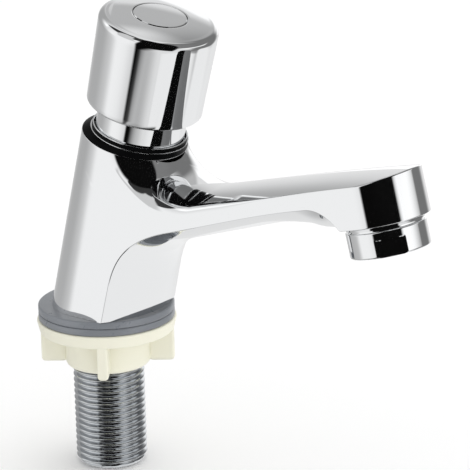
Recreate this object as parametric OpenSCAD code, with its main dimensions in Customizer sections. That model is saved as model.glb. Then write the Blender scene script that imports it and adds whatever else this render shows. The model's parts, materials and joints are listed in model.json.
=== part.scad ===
// Self-closing push tap: a leaning cast body with a rising spout, a press knob on a
// slow-return cartridge, an aerator, and a threaded shank with its back nut.
// The origin is on the shank axis at the deck, +Z up, the spout towards +X.
// Distances along a leaning axis are counted from where that axis meets the shank axis.

/* [Knob axis] */
// Forward lean of the knob and cartridge, degrees
knob_lean = 15; // [8:0.5:20]
// Depth under the deck at which the knob axis meets the shank axis
axis_drop = 2.2; // [0:0.1:6]
// Travel of the knob from rest to fully pressed
press_travel = 4.5; // [2:0.1:4.8]

/* [Body column] */
// Forward lean of the cast column, degrees
column_lean = 13.8; // [12:0.1:15]
// Distance by which the column stands behind the knob axis at the foot
column_back = 0; // [0:0.1:0.4]
// Column radius at the foot
foot_r = 16; // [15.8:0.1:16.2]
// Column radius at the rim
rim_r = 15.4; // [15.3:0.1:16]
// Rim height along the knob axis
rim_s = 58.7; // [56:0.1:64]
// Height of the black rubber ring between the rim and the collar's flange
rim_ring_t = 1.7; // [1.2:0.05:2]
// Distance of the front face's crest from the knob axis
front_crest = 16.4; // [16.3:0.1:17.5]

/* [Spout] */
// Distance of the outlet centre from the shank axis
outlet_x = 106.8; // [90:0.5:125]
// Height of the aerator's lower face above the deck
outlet_z = 37.7; // [34:0.1:42]
// Rise of the spout's top and backward lean of the outlet axis, degrees
spout_rise = 14; // [10:0.5:17]
// Extra fall of the underside towards the column, degrees
spout_taper = 4; // [2:0.25:6]
// Thickness of the spout where it reaches the outlet axis
spout_t = 9.7; // [8.8:0.1:11]
// Half width of the flanks at the foot of the front face
flank_root = 15.45; // [15.2:0.05:15.5]
// Half width of the spout's flanks at the outlet
flank_tip = 13; // [12.4:0.1:13.1]
// Inward lean of the flanks, degrees
flank_lean = 0.6; // [0.4:0.1:1]
// Radius of the round nose over the aerator
nose_r = 13.3; // [13.2:0.1:14.5]
// Height of the nose from its lower face to the crest of the spout
nose_h = 14.1; // [13.4:0.1:16]
// Radius of the crowned top across the spout, at the outlet
crown_r = 42; // [38:1:60]
// Radius of the crowned top across the spout, where it leaves the column
crown_root_r = 29; // [26:1:36]
// Radius of the rounded front face and underside, across the spout
belly_r = 28; // [24:0.5:34]
// Fillet radius between front face and underside
elbow_r = 22; // [16:0.5:24]
// Fillet radius between column and spout top
saddle_r = 15; // [11:0.5:18]

/* [Waterways] */
// Radius of the cartridge bore
cartridge_r = 12; // [11.5:0.1:12.4]
// Height of the valve seat shoulder along the knob axis
seat_s = 27; // [26:0.1:29]
// Radius of the valve chamber under the seat
chamber_r = 9; // [8.6:0.1:10]
// Radius of the bore through the shank
inlet_r = 7; // [6:0.1:7.5]
// Radius of the bore through the spout
spout_bore_r = 3.5; // [2.5:0.1:4]
// Height at which the spout bore leaves the cartridge bore, along the knob axis
spout_bore_s = 32; // [31:0.5:36]

/* [Shank and fixing] */
// Outside radius of the half inch pipe thread
thread_r = 10.4775; // [10.2:0.05:10.6]
// Pitch of the thread
thread_pitch = 1.814; // [1.4:0.002:2.4]
// Depth of the thread
thread_depth = 1.16; // [0.8:0.02:1.4]
// Length of the shank under the deck
shank_l = 46.7; // [40:0.5:70]
// Length of the shank inside the body's foot
spigot_l = 7.6; // [5:0.1:8]
// Radius of the two rubber rings that take in the deck
ring_r = 20; // [19:0.5:24]
// Thickness of the ring above the deck
gasket_t = 2.2; // [1.5:0.1:4]
// Thickness of the ring under the deck
washer_t = 2.2; // [1.5:0.1:4]
// Radius of the back nut's flange
nut_flange_r = 20.5; // [19:0.5:25]
// Thickness of the back nut's flange
nut_flange_t = 3.9; // [2.5:0.1:6]
// Radius of the back nut's hub
nut_hub_r = 12.5; // [12:0.1:14]
// Height of the back nut
nut_h = 14.4; // [11:0.1:20]
// Thickness of a wing of the back nut
wing_t = 3.3; // [2.5:0.1:6]
// Direction of the first wing, degrees from the spout
wing_turn = 38; // [0:1:90]

/* [Press knob] */
// Radius of the knob at its top edge
knob_top_r = 17.1; // [16:0.1:20]
// Radius of the knob at its lower edge
knob_low_r = 16.5; // [16:0.1:20]
// Height of the knob's crest along the knob axis
knob_crest_s = 97.6; // [94:0.1:104]
// Height at which the knob's round lower edge meets its skirt
knob_low_s = 67.2; // [67:0.1:70]
// Radius of the knob's top edge
knob_edge_r = 2; // [1:0.1:4]
// Radius of the knob's round lower edge
knob_under_r = 3.6; // [2.5:0.1:3.9]
// Radius of the gently domed top
knob_dome_r = 72; // [50:1:120]
// Outside radius of the knob's skirt
skirt_r = 12.9; // [12.5:0.05:12.95]
// Wall of the skirt
skirt_t = 1.5; // [1:0.1:2]
// Radius of the disc set in the knob's top
disc_r = 7.8; // [6:0.1:9]
// Thickness of the disc
disc_t = 1.2; // [0.8:0.1:1.5]

/* [Cartridge] */
// Radius of the collar's flange that shows round the skirt
collar_r = 14.2; // [14.1:0.05:14.6]
// Height of the collar over the rim
collar_h = 3.3; // [2.5:0.1:3.6]
// Bore of the cartridge sleeve
sleeve_bore_r = 9.5; // [9:0.1:10]
// Radius of the spindle in the gland
spindle_r = 4; // [3:0.1:4.5]
// Radius of the spindle's stem under the piston
stem_r = 2.6; // [2:0.1:3]
// Height of the piston
piston_h = 4.5; // [4:0.1:5]
// Radius of the hole in the valve seat
seat_r = 5.2; // [4.5:0.1:6]
// Radius of the rubber valve washer
valve_r = 7.4; // [7:0.1:8]
// Radius of the return spring at the middle of its wire
spring_r = 7.8; // [7:0.1:9]
// Radius of the spring's wire
wire_r = 0.7; // [0.4:0.05:1]
// Turns of the return spring
spring_turns = 7; // [5:1:9]
// Radius of the metering pin
pin_r = 0.6; // [0.4:0.05:0.8]

/* [Aerator] */
// Outside radius of the aerator housing
aerator_r = 11.2; // [10.8:0.1:12.5]
// Height of the housing that shows under the nose
aerator_h = 7.2; // [6:0.1:8]
// Radius of the aerator's thread in the nose
outlet_r = 9.9; // [9:0.1:10.3]
// Depth of the spanner flats
flat_depth = 0.8; // [0.4:0.1:1.2]

/* [Fits] */
// Clearance between pieces that slide or turn
run_gap = 0.06; // [0.02:0.01:0.1]
// Clearance between pieces that are seated together
seat_gap = 0.05; // [0.02:0.01:0.1]

/* [Hidden] */
$fn = 64;

chrome = "silver";
brass = "goldenrod";
steel = "lightsteelblue";
black_rubber = [0.13, 0.13, 0.14];
reach = 200;

// Levels counted from the crossing of the leaning axes
deck_z = axis_drop;
foot_z = deck_z + gasket_t;
spigot_z = foot_z + spigot_l;
outlet_lift = outlet_z + deck_z;
under_angle = spout_rise + spout_taper;

// Spout: outlet frame, crest of the top and line of the underside
crest_h = nose_h + aerator_h + nose_gap();
crest_offset = outlet_offset() + crest_h;
nose_z = aerator_h + nose_gap();
under_offset = -outlet_x * sin(under_angle) + outlet_lift * cos(under_angle)
    + (crest_h - spout_t) * cos(spout_taper);

// Elbow fillet: its centre lies outside the front face and under the spout, a little inside of tangent
blend_sink = 0.15;
elbow_front = front_crest + elbow_r - blend_sink;
elbow_under = under_offset - elbow_r + blend_sink;
elbow_x = (elbow_front * cos(under_angle) + elbow_under * sin(knob_lean)) / cos(knob_lean + under_angle);
elbow_z = (elbow_front * sin(under_angle) + elbow_under * cos(knob_lean)) / cos(knob_lean + under_angle);
elbow_s = elbow_x * sin(knob_lean) + elbow_z * cos(knob_lean);
elbow_turn = 90 - knob_lean - under_angle;

// Column, and the saddle fillet from under its rim down to the crest of the spout
column_l = rim_s / cos(knob_lean - column_lean);
rim_front = rim_r - column_back - rim_s * sin(knob_lean - column_lean);
saddle_s = rim_s - 1;
saddle_run = saddle_s * sin(knob_lean) + rim_front * cos(knob_lean) - outlet_x;
saddle_rise = saddle_s * cos(knob_lean) - rim_front * sin(knob_lean) - outlet_lift;
saddle_h = saddle_rise * cos(spout_rise) - saddle_run * sin(spout_rise) - crest_h + blend_sink;
saddle_turn = acos(1 - saddle_h / saddle_r);
saddle_x = saddle_run * cos(spout_rise) + saddle_rise * sin(spout_rise) + saddle_r * sin(saddle_turn);
saddle_z = crest_h - blend_sink + saddle_r;
saddle_across = 12.5;
rim_x = (rim_s * sin(knob_lean) - (rim_r - rim_front) * cos(knob_lean) - outlet_x) * cos(spout_rise)
    + (rim_s * cos(knob_lean) + (rim_r - rim_front) * sin(knob_lean) - outlet_lift) * sin(spout_rise);

// Taper of the crowned top, and of the flanks in plan
crown_run = 80;
crown_taper = atan((crown_r - crown_root_r) / crown_run);
tip_level = outlet_lift + crest_h / 2;
flank_slope = (flank_root - flank_tip - (tip_level - foot_z) * tan(flank_lean)) / (outlet_x - front_crest);

// Thread: crest, root and flank widths of one ridge
crest_w = 0.3;
ridge_flank = (thread_pitch - crest_w - 0.2) / 2;
shank_chamfer = 1.2;
free_l = shank_l - washer_t - nut_h - 1;

// Heights of the cartridge along the knob axis
sleeve_l = 20;
gland_s = seat_s + sleeve_l;
piston_s = gland_s - 1 - piston_h;
skirt_s = rim_s + collar_h - 1.2;
cup_floor = skirt_s - press_travel - 0.1;
cup_s = cup_floor - 1.2;
cup_r = skirt_r + 0.2;
cup_wall = 0.6;
collar_neck_r = collar_r - 0.45;
ceiling_s = knob_crest_s - 7.6;
lip_h = 0.7;
valve_t = 2.4;
plate_t = 1.15;
valve_nut_h = 2.7;
valve_s = seat_s - lip_h - 0.1 - valve_t;
plate_s = valve_s - seat_gap - plate_t;
valve_nut_s = plate_s - seat_gap - valve_nut_h;
stem_s = valve_nut_s - 0.6;
gallery_wall = 1.2;
seal_s = gland_s + 3;
seal_h = 2.4;
pin_x = sleeve_bore_r * 0.72;
pin_reach = sleeve_l * 0.7;
pin_set = 2;
disc_s = knob_crest_s - disc_t - 0.4;
screw_r = 2;
screw_head_r = 3.6;
screw_head_h = 2;
screw_head_s = disc_s - screw_head_h - 1;
screw_grip = 7;
washer_plate_r = valve_r + 0.2;
outlet_chamber_r = outlet_r - 1.9;
aerator_thread_l = 5.2;
aerator_bore_r = aerator_r - 2.6;

function nose_gap() = 1.55;
function outlet_offset() = -outlet_x * sin(spout_rise) + outlet_lift * cos(spout_rise);

// Children stand on the knob axis
module on_knob_axis() {
    translate([0, 0, -deck_z]) rotate([0, knob_lean, 0]) children();
}

// Children stand on the outlet axis, with the aerator's lower face at their base
module on_outlet_axis() {
    translate([outlet_x, 0, outlet_z]) rotate([0, -spout_rise, 0]) children();
}

// A tube from one height to another
module tube(outer, inner, low, high) {
    translate([0, 0, low]) difference() {
        cylinder(r = outer, h = high - low);
        translate([0, 0, -1]) cylinder(r = inner, h = high - low + 2);
    }
}

// A ring of round section
module o_ring(middle, section, level) {
    translate([0, 0, level]) rotate_extrude() translate([middle, 0]) circle(r = section, $fn = 24);
}

// Section of front face and underside: an arc with its crest at the origin, and a straight back
module belly_section() {
    intersection() {
        translate([-belly_r, 0]) circle(r = belly_r, $fn = 128);
        translate([-front_crest, -belly_r]) square([front_crest, belly_r * 2]);
    }
}

// Everything on the inner side of one flank
module flank_side() {
    translate([front_crest, flank_root, foot_z]) rotate([flank_lean, 0, -atan(flank_slope)])
        translate([-reach, -reach, -reach]) cube([reach * 2, reach, reach * 2]);
}

// Flanks of front strip and spout: they narrow from the column to the nose and lean in a little
module flanks() {
    intersection() {
        flank_side();
        mirror([0, 1, 0]) flank_side();
    }
}

// Children stand in the outlet's frame, counted from the crossing of the leaning axes
module at_outlet() {
    translate([outlet_x, 0, outlet_lift]) rotate([0, -spout_rise, 0]) children();
}

// Everything under the crowned top of the spout: a cone with its upper line along the crest
module crown() {
    start = -outlet_x * 1.2;
    start_r = crown_r + start * (crown_r - crown_root_r) / crown_run;
    run = outlet_x * 1.6;
    at_outlet() translate([start - start_r * sin(crown_taper), 0, crest_h - start_r * cos(crown_taper)])
        rotate([0, 90 + crown_taper, 0])
            cylinder(r1 = start_r, r2 = start_r + run * tan(crown_taper), h = run, $fn = 128);
}

// Everything under the plane of the rim
module under_rim() {
    rotate([0, knob_lean, 0]) cylinder(r = reach, h = rim_s * 2, center = true);
}

// Leaning cone of the column
module column_cone() {
    translate([-column_back, 0, 0]) rotate([0, column_lean, 0]) translate([0, 0, -column_l])
        cylinder(r1 = foot_r + (foot_r - rim_r), r2 = rim_r - (foot_r - rim_r), h = column_l * 3);
}

// Leaning round column, from the deck ring up to the rim
module column() {
    intersection() {
        column_cone();
        under_rim();
        above_foot();
    }
}

module above_foot() {
    translate([-reach, -reach, foot_z]) cube([reach * 2, reach * 2, reach]);
}

// Front face and underside of the spout: one section carried along two lines and the elbow's arc
module belly_sweep() {
    overlap = 4;
    under_l = (outlet_x - elbow_x) / cos(under_angle) + front_crest + overlap;
    union() {
        rotate([0, knob_lean, 0]) translate([front_crest, 0, 0])
            linear_extrude(elbow_s + elbow_r) belly_section();
        translate([elbow_x, 0, elbow_z]) rotate([90, 0, 0]) rotate([0, 0, 90 + under_angle - overlap])
            rotate_extrude(angle = elbow_turn + overlap * 2, $fn = 128)
                translate([elbow_r, 0]) mirror([1, 0]) belly_section();
        translate([elbow_x, 0, elbow_z]) rotate([0, -under_angle, 0])
            translate([-front_crest - overlap, 0, elbow_r - blend_sink]) rotate([0, 90, 0])
                linear_extrude(under_l) belly_section();
    }
}

// Front strip and bar of the spout, between the flanks and under the crowned top
module spout() {
    intersection() {
        belly_sweep();
        flanks();
        crown();
        above_foot();
    }
}

// Round nose over the aerator
module nose() {
    intersection() {
        at_outlet() translate([0, 0, nose_z]) cylinder(r = nose_r, h = nose_h + 2, $fn = 96);
        crown();
    }
}

// Chin: the underside sinks to the nose on a shallow cone, round across the spout
module chin() {
    slope = 8;
    low = nose_z + 0.3;
    inner = nose_r - 0.4;
    outer = inner + 19;
    top = low + (outer - inner) * tan(slope);
    across = nose_r + 2.7;
    intersection() {
        at_outlet() rotate_extrude($fn = 96)
            polygon([[0, low], [inner, low], [outer, top], [outer, top + 3], [0, top + 3]]);
        at_outlet() translate([-outer - 5, 0, nose_z + 0.1 + across]) rotate([0, 90, 0])
            cylinder(r = across, h = outer + 5, $fn = 96);
        flanks();
    }
}

// Fillet between the column and the top of the spout, hollow along the spout and round across it
module saddle() {
    overlap = 14;
    depth = saddle_r + 8;
    intersection() {
        at_outlet() translate([saddle_x, 0, saddle_z]) rotate([90, 0, 0])
            rotate([0, 0, 270 - saddle_turn - overlap])
                rotate_extrude(angle = saddle_turn + overlap, $fn = 96) intersection() {
                    translate([saddle_r + saddle_across, 0]) circle(r = saddle_across, $fn = 96);
                    translate([0, -saddle_across]) square([depth, saddle_across * 2]);
                }
        under_rim();
    }
}

// Shoulders: the fillet goes on round the column's sides, down to the edges of the crowned top
module shoulders() {
    level = crest_h - 4;
    bend = 13;
    spread = rim_r + bend;
    intersection() {
        at_outlet() translate([rim_x, 0, 0]) rotate_extrude($fn = 96) difference() {
            translate([0, level - 2]) square([spread, bend + 1.5]);
            translate([spread, level + bend]) circle(r = bend, $fn = 96);
        }
        at_outlet() translate([rim_x - 7, -reach, 0]) cube([reach, reach * 2, reach]);
        rotate([0, knob_lean, 0]) cylinder(r = reach, h = (rim_s - 3) * 2, center = true);
        flanks();
    }
}

// Bores of cartridge, valve chamber, inlet, spout and outlet
module body_bores() {
    rotate([0, knob_lean, 0]) {
        translate([0, 0, seat_s]) cylinder(r = cartridge_r, h = rim_s);
        translate([0, 0, cup_s]) cylinder(r = cup_r + cup_wall + seat_gap, h = rim_s);
        translate([0, 0, seat_s / 2]) cylinder(r = chamber_r, h = seat_s / 2 + 1);
    }
    cylinder(r = thread_r + seat_gap, h = spigot_z + 1.1);
    cylinder(r = inlet_r, h = spigot_z + inlet_r);
    start = [spout_bore_s * sin(knob_lean), spout_bore_s * cos(knob_lean)];
    rise = crest_h - spout_bore_r - 2;
    end = [outlet_x - rise * sin(spout_rise), outlet_lift + rise * cos(spout_rise)];
    run = end - start;
    translate([start[0], 0, start[1]]) rotate([0, atan2(run[0], run[1]), 0])
        cylinder(r = spout_bore_r, h = norm(run));
    translate([outlet_x, 0, outlet_lift]) rotate([0, -spout_rise, 0]) {
        translate([0, 0, nose_z - 2]) cylinder(r = outlet_r + seat_gap, h = aerator_thread_l + 3.2);
        translate([0, 0, nose_z]) cylinder(r = outlet_chamber_r, h = crest_h - nose_z - 2.4);
    }
}

module tap_body() {
    color(chrome) translate([0, 0, -deck_z]) difference() {
        union() {
            column();
            spout();
            nose();
            chin();
            saddle();
            shoulders();
        }
        body_bores();
    }
}

// Black rubber ring on the rim: it tapers from the column's outline to the collar's flange
module rim_ring() {
    color(black_rubber) translate([0, 0, -deck_z]) intersection() {
        column_cone();
        rotate([0, knob_lean, 0]) translate([0, 0, rim_s + seat_gap]) difference() {
            cylinder(r1 = collar_r + rim_ring_t, r2 = collar_r - 0.15, h = rim_ring_t);
            translate([0, 0, -1]) cylinder(r = collar_neck_r + seat_gap, h = rim_ring_t + 2);
        }
    }
}

// Rubber ring with softened outer edges, round the shank
module rubber_ring(low, thick) {
    edge = 0.4;
    hole_r = thread_r + 0.5;
    translate([0, 0, low]) rotate_extrude(convexity = 4, $fn = 96)
        polygon([[hole_r, 0], [ring_r - edge, 0], [ring_r, edge], [ring_r, thick - edge],
            [ring_r - edge, thick], [hole_r, thick]]);
}

module base_gasket() {
    color("slategray") rubber_ring(0, gasket_t);
}

module deck_washer() {
    color("slategray") rubber_ring(-washer_t, washer_t - seat_gap);
}

// Outline of one ridge of the thread, from below to above
function ridge(level, crest) = [
    [crest - thread_depth, level - crest_w / 2 - ridge_flank],
    [crest, level - crest_w / 2],
    [crest, level + crest_w / 2],
    [crest - thread_depth, level + crest_w / 2 + ridge_flank]];

// Shank: a turned tube with the ridges of its thread, of full size on the stretch under the back nut
module threaded_shank() {
    relief = 0.2;
    neck_r = thread_r - relief;
    first = -shank_l + shank_chamfer + crest_w / 2 + ridge_flank;
    free = floor((free_l - shank_chamfer - ridge_flank * 2) / thread_pitch);
    count = floor((shank_l - washer_t - shank_chamfer - ridge_flank) / thread_pitch);
    top = spigot_z - deck_z;
    outline = concat(
        [[inlet_r, -shank_l], [thread_r - thread_depth - 0.2, -shank_l]],
        [for (k = [0:count - 1]) each ridge(first + k * thread_pitch, k <= free ? thread_r : neck_r)],
        [[neck_r, first + count * thread_pitch], [neck_r, top], [inlet_r, top]]);
    echo(thread_from = first - crest_w / 2, thread_l = free * thread_pitch + crest_w);
    color(chrome) rotate_extrude(convexity = 8) polygon(outline);
}

module shank_seal() {
    level = spigot_z - deck_z;
    color("sienna") tube(thread_r - 0.3, inlet_r + 0.2, level + seat_gap, level + 1);
}

// Strainer cup pushed into the lower end of the shank
module inlet_filter() {
    depth = 8;
    wall = 0.9;
    hole_r = 0.65;
    rows = 3;
    step = (inlet_r - wall) / (rows + 0.6);
    color("white") translate([0, 0, -shank_l + 1]) difference() {
        cylinder(r = inlet_r - seat_gap, h = depth);
        translate([0, 0, wall]) cylinder(r = inlet_r - wall, h = depth);
        for (row = [0:rows], k = [0:max(1, row * 6) - 1])
            rotate([0, 0, k * 360 / max(1, row * 6)]) translate([row * step, 0, -1])
                cylinder(r = hole_r, h = 3, $fn = 16);
    }
}

// Plastic back nut: tapered flange, hub with a round lower edge, and four wings
module back_nut() {
    draft = 0.7;
    hub_edge = 2;
    wing_reach = nut_flange_r - 0.8;
    wing_low = nut_h - 0.6;
    color("ivory") translate([0, 0, -washer_t - seat_gap]) mirror([0, 0, 1]) difference() {
        union() {
            cylinder(r1 = nut_flange_r, r2 = nut_flange_r - draft, h = nut_flange_t, $fn = 96);
            rotate_extrude() {
                square([nut_hub_r, nut_h - hub_edge]);
                square([nut_hub_r - hub_edge, nut_h]);
                translate([nut_hub_r - hub_edge, nut_h - hub_edge]) circle(r = hub_edge);
            }
            for (k = [0:3]) rotate([0, 0, wing_turn + k * 90]) {
                translate([0, -wing_t / 2, 0]) cube([wing_reach, wing_t, wing_low - wing_t / 2]);
                translate([0, 0, wing_low - wing_t / 2]) rotate([0, 90, 0])
                    cylinder(r = wing_t / 2, h = wing_reach, $fn = 32);
            }
        }
        translate([0, 0, -1]) cylinder(r = thread_r + run_gap, h = nut_h + 2);
    }
}

// Sleeve with the valve seat in its floor, ports, and a waist that leads to the spout
module cartridge_sleeve() {
    floor_t = 2.6;
    lip_w = 1;
    port_r = 1.9;
    waist_s = seat_s + 4;
    waist_l = 11;
    o_ring_s = seat_s + 2;
    color(brass) on_knob_axis() difference() {
        union() {
            translate([0, 0, seat_s + seat_gap])
                cylinder(r = cartridge_r - seat_gap, h = sleeve_l - seat_gap * 2);
            translate([0, 0, seat_s - lip_h]) cylinder(r = seat_r + lip_w, h = lip_h + 1);
        }
        translate([0, 0, seat_s + floor_t]) cylinder(r = sleeve_bore_r, h = sleeve_l);
        translate([0, 0, seat_s - 2]) cylinder(r = seat_r, h = floor_t + 3);
        tube(cartridge_r + 1, sleeve_bore_r + gallery_wall, waist_s, waist_s + waist_l);
        tube(cartridge_r + 1, cartridge_r - 1, o_ring_s - 0.8, o_ring_s + 0.8);
        for (k = [0:3]) rotate([0, 0, 45 + k * 90]) translate([0, 0, waist_s + port_r + 0.4])
            rotate([0, 90, 0]) cylinder(r = port_r, h = cartridge_r + 2);
    }
}

module sleeve_o_ring() {
    section = 0.45;
    color(black_rubber) on_knob_axis() o_ring(cartridge_r - seat_gap - section, section, seat_s + 2);
}

// Gland screwed into the body: its cup takes the skirt, and its collar shows round it
module gland_collar() {
    low = rim_s + seat_gap;
    flange_s = low + rim_ring_t + seat_gap;
    flange_t = 0.25;
    top = rim_s + collar_h;
    guide_r = spindle_r + run_gap;
    edge = 0.25;
    color(chrome) on_knob_axis() difference() {
        union() {
            translate([0, 0, gland_s]) cylinder(r = cartridge_r - seat_gap, h = cup_s - gland_s + 1);
            translate([0, 0, cup_s + seat_gap]) cylinder(r = cup_r + cup_wall, h = rim_s - cup_s);
            rotate_extrude() polygon([[0, low], [collar_neck_r, low], [collar_neck_r, flange_s],
                [collar_r, flange_s], [collar_r, flange_s + flange_t], [collar_neck_r, flange_s + flange_t],
                [collar_neck_r, top - edge], [collar_neck_r - edge, top], [0, top]]);
        }
        translate([0, 0, cup_floor]) cylinder(r = cup_r, h = rim_s);
        translate([0, 0, gland_s - 1]) cylinder(r = guide_r, h = rim_s);
        tube(spindle_r + 2, spindle_r - 1, seal_s, seal_s + seal_h);
        tube(cartridge_r + 1, cartridge_r - 1.2, cup_s - 3, cup_s - 1);
        rotate([0, 0, 90]) translate([pin_x, 0, gland_s - 1])
            cylinder(r = pin_r + seat_gap, h = pin_set + 1.5);
    }
}

module gland_o_ring() {
    section = 0.55;
    color(black_rubber) on_knob_axis() o_ring(cartridge_r - seat_gap - section, section, cup_s - 2);
}

module spindle_seal() {
    color(black_rubber) on_knob_axis()
        tube(spindle_r + 2 - seat_gap, spindle_r + run_gap, seal_s + seat_gap, seal_s + seal_h - seat_gap);
}

// Fixed pin that keeps the piston's bleed hole clear and sets the closing time
module metering_pin() {
    color(steel) on_knob_axis() rotate([0, 0, 90]) translate([pin_x, 0, gland_s - pin_reach])
        cylinder(r = pin_r, h = pin_reach + pin_set, $fn = 24);
}

module spring_washer() {
    color(steel) on_knob_axis()
        tube(spring_r + 1.6, spindle_r + 0.3, cup_floor + seat_gap, cup_floor + 0.9);
}

// Round wire on a helix: rings of points set square to the wire
function helix_point(t, radius, low, rise) =
    [radius * cos(t * 360), radius * sin(t * 360), low + rise * t];
function wire_ring(t, radius, low, rise, wire, sides) =
    let (slope = atan(rise / (2 * PI * radius)))
    [for (k = [0:sides - 1]) let (a = k * 360 / sides, out = wire * cos(a), up = wire * sin(a))
        helix_point(t, radius, low, rise)
        + [out * cos(t * 360), out * sin(t * 360), 0]
        + up * [sin(t * 360) * sin(slope), -cos(t * 360) * sin(slope), cos(slope)]];

module coil(radius, wire, low, high, turns) {
    sides = 6;
    per_turn = 12;
    rings = turns * per_turn;
    rise = (high - low - wire * 2) / turns;
    points = [for (i = [0:rings]) each wire_ring(i / per_turn, radius, low + wire, rise, wire, sides)];
    last = rings * sides;
    faces = concat(
        [for (i = [0:rings - 1], k = [0:sides - 1]) let (a = i * sides + k, b = i * sides + (k + 1) % sides)
            each [[a, b + sides, b], [a, a + sides, b + sides]]],
        [for (k = [1:sides - 2]) [0, k, k + 1]],
        [for (k = [1:sides - 2]) [last, last + k + 1, last + k]]);
    echo(spring_gap = rise * cos(atan(rise / (2 * PI * radius))) - wire * 2);
    polyhedron(points, faces, convexity = 10);
}

module return_spring() {
    color(steel) on_knob_axis()
        coil(spring_r, wire_r, cup_floor + 1, ceiling_s - 0.1, spring_turns);
}

// Outline of the knob from its axis outwards: skirt, round lower edge, drafted side, edge and dome
module knob_outline() {
    under_s = knob_low_s + knob_under_r;
    edge_s = knob_crest_s - 3.6;
    intersection() {
        union() {
            translate([0, skirt_s]) square([skirt_r, knob_low_s - skirt_s + 1]);
            translate([0, knob_low_s]) square([knob_low_r - knob_under_r, knob_under_r]);
            translate([knob_low_r - knob_under_r, under_s]) circle(r = knob_under_r);
            polygon([[0, under_s], [knob_low_r, under_s], [knob_top_r, edge_s], [0, edge_s]]);
            translate([knob_top_r - knob_edge_r, edge_s]) circle(r = knob_edge_r);
            translate([0, edge_s - 1]) square([knob_top_r - knob_edge_r, 10]);
        }
        translate([0, knob_crest_s - knob_dome_r]) circle(r = knob_dome_r, $fn = 256);
        translate([0, skirt_s]) square([reach, reach]);
    }
}

module push_knob() {
    hub_r = spindle_r + 1.9;
    hub_l = 9;
    color(chrome) on_knob_axis() difference() {
        rotate_extrude($fn = 96) knob_outline();
        difference() {
            translate([0, 0, skirt_s - 1]) cylinder(r = skirt_r - skirt_t, h = ceiling_s - skirt_s + 1);
            translate([0, 0, ceiling_s - hub_l]) cylinder(r = hub_r, h = hub_l);
        }
        translate([0, 0, skirt_s]) cylinder(r = spindle_r + seat_gap, h = ceiling_s - skirt_s);
        translate([0, 0, ceiling_s - 1]) cylinder(r = screw_r + 0.15, h = 8);
        translate([0, 0, screw_head_s]) cylinder(r = screw_head_r + 0.4, h = 8);
        translate([0, 0, disc_s]) cylinder(r = disc_r + 0.15, h = 8);
    }
}

// Disc in the knob's top, level with the dome round it
module knob_disc() {
    color(chrome) on_knob_axis() intersection() {
        translate([0, 0, disc_s + seat_gap]) cylinder(r = disc_r, h = disc_r);
        translate([0, 0, knob_crest_s - knob_dome_r - 0.1]) sphere(r = knob_dome_r, $fn = 256);
    }
}

// Screw that holds the knob on the spindle, under the disc
module knob_screw() {
    slot_w = 0.9;
    stem_low = ceiling_s - screw_grip;
    color(steel) on_knob_axis() difference() {
        union() {
            translate([0, 0, screw_head_s + seat_gap]) cylinder(r = screw_head_r, h = screw_head_h);
            translate([0, 0, stem_low]) cylinder(r = screw_r, h = screw_head_s - stem_low + 1);
        }
        translate([-screw_head_r, -slot_w / 2, screw_head_s + screw_head_h - 0.8])
            cube([screw_head_r * 2, slot_w, 2]);
    }
}

module spindle() {
    shoulder = 1.2;
    color(steel) on_knob_axis() difference() {
        union() {
            translate([0, 0, piston_s + piston_h + seat_gap])
                cylinder(r = spindle_r, h = ceiling_s - piston_s - piston_h - seat_gap * 2);
            translate([0, 0, stem_s]) cylinder(r = stem_r, h = piston_s + piston_h - stem_s + 1);
            translate([0, 0, plate_s + plate_t + valve_t + seat_gap * 3])
                cylinder(r = stem_r + 0.7, h = shoulder);
        }
        translate([0, 0, ceiling_s - screw_grip - 2]) cylinder(r = screw_r + seat_gap, h = screw_grip + 5);
    }
}

// Piston that slows the return, with a groove for its lip seal and a fine bleed hole
module piston() {
    color("whitesmoke") on_knob_axis() difference() {
        translate([0, 0, piston_s]) cylinder(r = sleeve_bore_r - run_gap, h = piston_h);
        translate([0, 0, piston_s - 1]) cylinder(r = stem_r + seat_gap, h = piston_h + 2);
        tube(sleeve_bore_r + 1, sleeve_bore_r - 1.9, piston_s + 1.2, piston_s + piston_h - 1.2);
        rotate([0, 0, 90]) translate([pin_x, 0, piston_s - 1])
            cylinder(r = pin_r + run_gap, h = piston_h + 2, $fn = 24);
    }
}

module piston_lip_seal() {
    low = piston_s + 1.2 + seat_gap;
    high = piston_s + piston_h - 1.2 - seat_gap;
    color(black_rubber) on_knob_axis() difference() {
        tube(sleeve_bore_r - run_gap / 2, sleeve_bore_r - 1.9 + seat_gap, low, high);
        translate([0, 0, low - 1]) difference() {
            cylinder(r = sleeve_bore_r - 0.6, h = 1 + (high - low) / 2);
            cylinder(r = sleeve_bore_r - 1.2, h = 3);
        }
    }
}

module valve_washer() {
    color(black_rubber) on_knob_axis() tube(valve_r, stem_r + seat_gap, valve_s, valve_s + valve_t);
}

// Cupped plate behind the valve washer
module washer_plate() {
    color(brass) on_knob_axis() tube(washer_plate_r, stem_r + seat_gap, plate_s, plate_s + plate_t);
}

module valve_nut() {
    across = 7;
    color(brass) on_knob_axis() translate([0, 0, valve_nut_s]) difference() {
        cylinder(r = across / 2 / cos(30), h = valve_nut_h, $fn = 6);
        translate([0, 0, -1]) cylinder(r = stem_r + seat_gap, h = valve_nut_h + 2);
    }
}

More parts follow.
